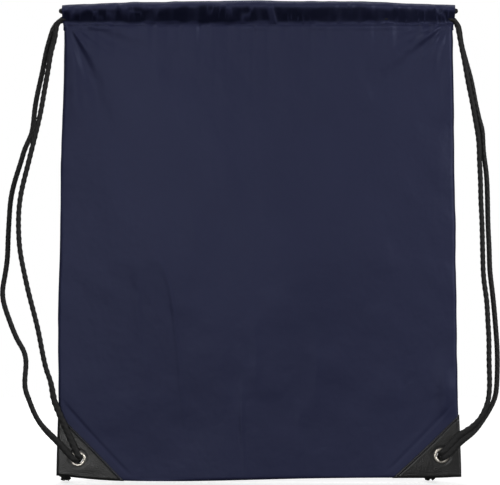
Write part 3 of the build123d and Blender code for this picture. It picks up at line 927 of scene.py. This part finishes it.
def with_depth(points, top_y, middle_y, low_y, low_z):
    """Give a hanging strand its y; it is at low_y from low_z down."""
    out = []
    for x, z in points:
        y = mix(top_y, middle_y, 1 - ease(330, 391, z))
        out.append((x, float(mix(low_y, y, ease(low_z, low_z + 110, z))), z))
    return out


def bend_into_bore(bore, arrive, bend=2.7):
    """Points of a cord arriving along (x, z) and turning back through the eyelet."""
    direction = np.array(arrive) / np.linalg.norm(arrive)
    points = []
    for left in (1.0, 0.62, 0.3, 0.08, 0.0):
        angle = (1 - left) * math.pi / 2
        x, z = np.array(bore) - direction * bend * (1 - math.sin(angle))
        points.append((x, BORE_START_Y + bend * (1 - math.cos(angle)), z))
    return points + [(bore[0], 0.2, bore[1])]


def lead_to_knot(bore, knot, lean):
    """Points of a cord from the back of the eyelet to the knot."""
    (x, z), (knot_x, knot_z) = bore, knot
    return [(x, 3.6, z), (x + lean * 0.1, 5.6, z - 1.2),
            (mix(x, knot_x, 0.35) + lean * 0.2, 6.6, mix(z, knot_z, 0.42)),
            (knot_x + lean * 0.8, 7.2, knot_z + 3.0), (knot_x + lean * 0.2, 7.4, knot_z - 0.5)]


# Two strands a side, from the front casing and from the back casing. All points are x, y, z.
# head: out of the casing; hang: down the side; low: where it comes back onto the bag;
# lead: over the patch; bore: from the eyelet's centre, x and z; arrive: direction into the
# eyelet, x and z; lean: side of the knot it comes in on.
STRANDS = {
    "left": (
        dict(head=[(-158.0, -4.6, 400.6), (-165.5, -4.9, 400.8), (-170.6, -4.3, 399.6),
                   (-174.2, -3.1, 395.6)],
             hang=with_depth(LEFT_INNER, -2.3, -4.2, LEAD_Y, 78),
             low=(-176.7, -4.75, 71.0),
             lead=[(-172.8, LEAD_Y, 60.5), (-166.8, LEAD_Y - 0.1, 46.5),
                   (-161.2, LEAD_Y - 0.3, 34.0)],
             bore=(1.5, 1.15), arrive=(0.52, -0.85), lean=1.2),
        dict(head=[(-158.0, 4.6, 400.6), (-165.5, 4.9, 400.8), (-172.2, 4.4, 399.0),
                   (-177.2, 3.1, 394.0)],
             hang=with_depth(LEFT_OUTER, 2.3, 4.2, LEAD_Y, 50),
             low=(-176.8, -5.1, 37.8),
             lead=[(-172.4, LEAD_Y, 33.2), (-166.8, LEAD_Y - 0.3, 27.0)],
             bore=(-1.5, -1.15), arrive=(0.85, -0.53), lean=-1.2)),
    "right": (
        dict(head=[(158.0, -4.6, 400.6), (164.5, -4.9, 400.8), (169.4, -4.2, 399.0),
                   (172.4, -2.9, 394.0)],
             hang=with_depth(RIGHT_INNER, -2.3, -3.4, -5.2, 50)
             + [(193.6, -5.4, 58.2), (186.4, -5.2, 49.0)],
             low=(178.4, -4.95, 43.3),
             lead=[(173.0, LEAD_Y, 39.6), (166.8, LEAD_Y - 0.3, 33.0)],
             bore=(-0.72, 1.76), arrive=(-0.75, -0.66), lean=-1.2),
        dict(head=[(158.0, 4.6, 400.6), (164.5, 4.9, 400.8), (170.4, 4.4, 398.8),
                   (173.8, 2.9, 393.6)],
             hang=with_depth(RIGHT_OUTER, 2.3, 3.0, 0.6, 60)
             + [(195.2, -0.2, 54.4), (186.4, -3.4, 43.8)],
             low=(178.6, -5.0, 37.6),
             lead=[(174.0, LEAD_Y, 33.6), (168.3, LEAD_Y - 0.3, 28.3)],
             bore=(0.72, -1.76), arrive=(-0.88, -0.48), lean=1.2)),
}


def strand_pieces(side, number):
    """The strand cut into (tube, weight per ring) pieces: two ends, loop, lead and tail."""
    plan = STRANDS[side][number]
    bore = tuple(np.add(EYELETS[side], plan["bore"]))
    curve, s = spline(
        plan["head"] + plan["hang"] + [plan["low"]] + plan["lead"]
        + bend_into_bore(bore, plan["arrive"])
        + lead_to_knot(bore, KNOTS[side], plan["lean"]), CORD_STEP)
    exit_s = s[np.argmin(np.abs(curve[:len(curve) // 3, 2] - 397.5))]   # out of the casing
    low = int(np.argmin(np.linalg.norm(curve - np.array(plan["low"]), axis=1)))
    low_s = s[low]
    top = int(np.argmin(np.abs(s - (exit_s + 16))))
    end = int(np.argmin(np.abs(s - (low_s - 11))))
    behind = int(np.argmax((curve[:, 1] > 3.3) & (s > low_s)))          # behind the eyelet
    top_s, end_s, behind_s = s[top], s[end], s[behind]
    # pressed flat on the patch; squeezed in the casing and through the eyelet
    entering = ease(behind_s - 9, behind_s - 5, s)
    flatten = 0.23 * ease(low_s - 22, low_s - 2, s) * (1 - entering) + 0.03 * entering
    squeeze = 0.14 * ease(behind_s - 10, behind_s - 6, s) + 0.35 * (1 - ease(6, 12, s))
    rings, _ = tube(curve, s, shift=37 * number, flatten=flatten, squeeze=squeeze)

    def piece(first, last, weight):
        span = slice(first, last + 1)
        return (rings[span], s[span]), weight[span]

    along_loop = np.clip((s - top_s) / (end_s - top_s), 0, 1)
    return dict(
        ends=[piece(0, top, ease(exit_s, exit_s + 16, s)),
              piece(end, low, 1 - ease(low_s - 11, low_s - 0.5, s))],
        loop=[piece(top, end, np.sin(math.pi * along_loop) ** 1.5)],
        lead=[piece(low, behind, ease(behind_s - 7, behind_s - 0.6, s))],
        tail=[piece(behind, len(curve) - 1, ease(behind_s, behind_s + 6, s))])


def knot_pieces(side):
    """The two ends tied together as a trefoil, with short tails."""
    knot_x, knot_z = KNOTS[side]
    size = 1.52
    turn = 0.5 if side == "left" else -0.4
    t = np.linspace(0, 2 * math.pi, 260)
    x = (np.sin(t) + 2 * np.sin(2 * t)) * size
    y = -1.25 * np.sin(3 * t) * size * 1.1
    z = (np.cos(t) - 2 * np.cos(2 * t)) * size
    curve = np.stack([x * math.cos(turn) - z * math.sin(turn), y,
                      x * math.sin(turn) + z * math.cos(turn)], -1)
    curve += np.array([knot_x, 8.4, knot_z])
    dense = lengths_along(curve)
    s = np.arange(0, dense[-1], CORD_STEP)
    tubes = [tube(resample(curve, dense, s), s, radius=1.85)]
    for sign, lift in ((-1.0, 0.0), (1.0, 0.9)):
        tail = [(knot_x + sign * 0.8, 8.2, knot_z - 0.5),
                (knot_x + sign * 1.9 + 0.6, 9.0, knot_z - 3.4),
                (knot_x + sign * 3.0 + 1.2, 8.6, max(0.3, knot_z - 6.2 + lift))]
        tubes.append(tube(*spline(tail, CORD_STEP), radius=1.8))
    return [(rings, np.ones(len(rings[1]))) for rings in tubes]


def shoulder_cords(side):
    strands = [strand_pieces(side, number) for number in (0, 1)]
    ends, loop, lead, tail = ([piece for strand in strands for piece in strand[part]]
                              for part in ("ends", "loop", "lead", "tail"))
    edge, strap = f"{side}_side", f"{side}_strap"
    blended_cords(f"{side}_cord_ends", ends, edge, strap, f"{side}_cord_stubs",
                  f"{side}_strand_top_ends", f"{side}_strand_low_ends")
    blended_cords(f"{side}_shoulder_strands", loop, strap, f"{side}_loop",
                  f"{side}_front_strand", f"{side}_back_strand")
    blended_cords(f"{side}_cord_leads", lead, edge, "bag", f"{side}_cord_leads")
    blended_cords(f"{side}_knot", tail + knot_pieces(side), "bag", f"{side}_knot",
                  f"{side}_knot")


for side, _ in SIDES:
    shoulder_cords(side)

# ------------------------------------------------------------------ cords in the casings
# front half of the turn round the right side edge: x, y, z
TURN_FRONT = [(158.0, -5.4, 407.0), (165.0, -5.0, 407.4), (168.8, -4.0, 407.6),
              (170.3, -2.2, 407.6)]
TURN_TIP = (170.75, 0, 407.6)


def cord_turn(side, sign, other):
    """The other side's cord turning round this side edge."""
    turn_back = [(x, -y, z) for x, y, z in reversed(TURN_FRONT)]
    points = [(sign * x, y, z) for x, y, z in TURN_FRONT + [TURN_TIP] + turn_back]
    obj = cord_mesh(f"{other}_cord_turn", [tube(*spline(points, CORD_STEP))])
    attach(obj, f"{side}_side")
    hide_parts(f"{other}_cord_turn")


def casing_runs(side, sign):
    """Half of each cord's front and back run; the two cords swap heights at the middle."""
    cross_z = 404.6
    runs = []
    for outward in OUTWARD:
        for end_z in (400.6, 407.4):
            points = [(sign * x, outward * (float(casing_y(x)) - 0.3),
                       cross_z + (end_z - cross_z) * float(ease(-42, 42, x) * 2 - 1))
                      for x in (0, 20, 40, 62, 90, 120, 145, 158.5)]
            runs.append(tube(*spline(points, 1.2), radius=1.35, segments=16, braid=0.6))
    obj = cord_mesh(f"{side}_casing_runs", runs)
    gather(obj)
    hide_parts(*[f"{cord}_cord_{face_name}_run"
                       for cord, _ in SIDES for face_name, _ in FACES])


for (side, sign), other in zip(SIDES, ("right", "left")):
    cord_turn(side, sign, other)
for side, sign in SIDES:
    casing_runs(side, sign)

# ------------------------------------------------------------------ floor, light, camera
low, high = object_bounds()


def add_floor():
    """Floor that looks pale to the camera but bounces little light up at the cloth."""
    bpy.ops.mesh.primitive_plane_add(size=2.6, location=(0, 0, low.z - 0.0006))
    floor = bpy.context.object
    floor.name = "floor"
    pale, dim, glow = (0.93, 0.93, 0.93, 1), (0.12, 0.12, 0.12, 1), 0.5
    material, nodes, shader = principled(
        "floor", Base_Color=pale, Roughness=0.9, Specular_IOR_Level=0.1,
        Emission_Color=(1, 1, 1, 1), Emission_Strength=glow)
    seen = nodes.add("LightPath").outputs["Is Camera Ray"]
    nodes.set(shader, Base_Color=nodes.mix("RGBA", seen, dim, pale),
              Emission_Strength=nodes.math("MULTIPLY", seen, glow))
    floor.data.materials.append(material)


def set_world(scene):
    """White to the camera, dim as a light."""
    scene.world = bpy.data.worlds.new("studio")
    scene.world.use_nodes = True
    nodes = Nodes(scene.world.node_tree)
    seen = nodes.add("LightPath").outputs["Is Camera Ray"]
    nodes.set(scene.world.node_tree.nodes["Background"], Color=(1, 1, 1, 1),
              Strength=nodes.mix("FLOAT", seen, 0.10, 1.0))


def area_light(scene, name, location, target, size, power):
    light = bpy.data.lights.new(name, "AREA")
    light.shape, light.energy = "RECTANGLE", power
    light.size, light.size_y = size
    obj = bpy.data.objects.new(name, light)
    scene.collection.objects.link(obj)
    obj.location = location
    obj.visible_camera = False
    obj.rotation_mode = "QUATERNION"
    aim = Vector(target) - Vector(location)
    obj.rotation_quaternion = aim.to_track_quat("-Z", "Y")


def add_camera(scene):
    """Level camera in front, framing a width of 0.4315 m at y = -0.01."""
    camera = bpy.data.cameras.new("camera")
    camera.type, camera.lens, camera.sensor_width = "PERSP", 200, 36
    camera.clip_end = 50
    obj = bpy.data.objects.new("camera", camera)
    scene.collection.objects.link(obj)
    obj.location = (-0.0073, -0.01 - 0.4315 * 200 / 36, 0.2071)
    obj.rotation_euler = (math.radians(90), 0, 0)
    scene.camera = obj


# name, location, target, size, power in watts
LIGHTS = [
    ("front", (-0.5, -2.5, 0.32), (0, 0, 0.2), (0.8, 0.6), 7.5),
    ("key", (-1.2, -1.0, 1.6), (0, 0, 0.15), (0.7, 0.7), 11.5),
    ("fill", (1.3, -1.0, 0.55), (0, 0, 0.1), (0.7, 0.7), 12.5),
    ("low", (-0.6, -2.2, 0.14), (-0.1, 0, 0.05), (0.35, 0.16), 4),
    ("top", (0.1, 0.35, 1.7), (0, 0, 0.2), (1.2, 0.6), 8),
    ("rear", (-0.6, 2.4, 0.8), (0, 0, 0.2), (1.3, 1.3), 22),
]

add_floor()
scene = bpy.context.scene
scene.view_settings.view_transform = "Standard"
set_world(scene)
for light in LIGHTS:
    area_light(scene, *light)
add_camera(scene)
